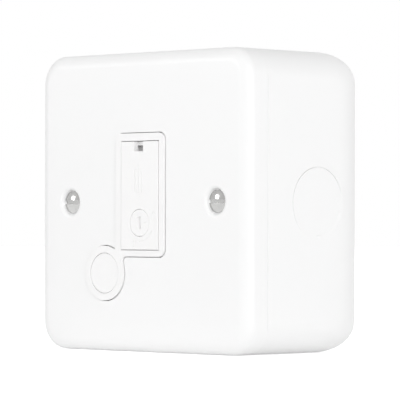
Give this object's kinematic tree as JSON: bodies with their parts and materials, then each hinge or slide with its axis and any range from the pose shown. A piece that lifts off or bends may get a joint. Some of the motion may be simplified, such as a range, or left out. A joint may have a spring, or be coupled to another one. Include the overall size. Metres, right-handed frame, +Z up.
{
  "type": "fused spur unit",
  "caption": "Square white surface-mounted fused spur unit with a lockable pull-out fuse carrier, a flex outlet knock-out and a deep rounded back box with conduit knock-outs",
  "frame": {"origin": "centre of the back box's rear face, which lies against the wall", "axes": "+X to the right seen from the front, +Z up the wall, and the faceplate looks along -Y"},
  "size_m": [0.087, 0.0494, 0.087],
  "materials": {
    "plate_white": "polished moulded urea, bright white",
    "box_white": "polished moulded urea, bright white",
    "insert_white": "satin moulded thermoplastic, bright white",
    "housing_white": "plain moulded thermoplastic",
    "bright_steel": "bright nickel plating",
    "zinc_steel": "zinc plating",
    "brass": "plain rolled and turned brass",
    "fuse_ceramic": "unglazed white ceramic",
    "cap_metal": "nickel-plated"
  },
  "bodies": {
    "root": {"back_box": "box_white", "fixing_insert_left": "brass", "fixing_insert_right": "brass", "box_earth_terminal": "brass", "box_earth_screw": "zinc_steel", "front_plate": "plate_white", "plate_screw_left": "bright_steel", "plate_screw_right": "bright_steel", "insert_frame": "insert_white", "supply_fuse_contact": "brass", "load_fuse_contact": "brass", "neutral_link": "brass", "live_supply_terminal": "brass", "live_load_terminal": "brass", "neutral_supply_terminal": "brass", "neutral_load_terminal": "brass", "earth_terminal": "brass", "live_supply_screw": "zinc_steel", "live_load_screw": "zinc_steel", "neutral_supply_screw": "zinc_steel", "neutral_load_screw": "zinc_steel", "earth_screws": "zinc_steel", "rear_housing": "housing_white", "housing_screw_left": "zinc_steel", "housing_screw_right": "zinc_steel", "cord_grip_bar": "housing_white", "cord_grip_screw_left": "zinc_steel", "cord_grip_screw_right": "zinc_steel"},
    "carrier": {"fuse_carrier": "insert_white", "fuse_barrel": "fuse_ceramic", "fuse_cap_upper": "cap_metal", "fuse_cap_lower": "cap_metal"},
    "lock": {"lock_disc": "insert_white", "lock_cam": "brass"}
  },
  "joints": [
    {"name": "carrier_slide", "type": "slide", "parent": "root", "child": "carrier", "axis": [0, -1, 0], "range_m": [0, 0.012]},
    {"name": "lock_turn", "type": "hinge", "parent": "carrier", "child": "lock", "pos_m": [0, -0.0465, -0.0061], "axis": [0, 1, 0], "range_deg": [0, 90]}
  ]
}
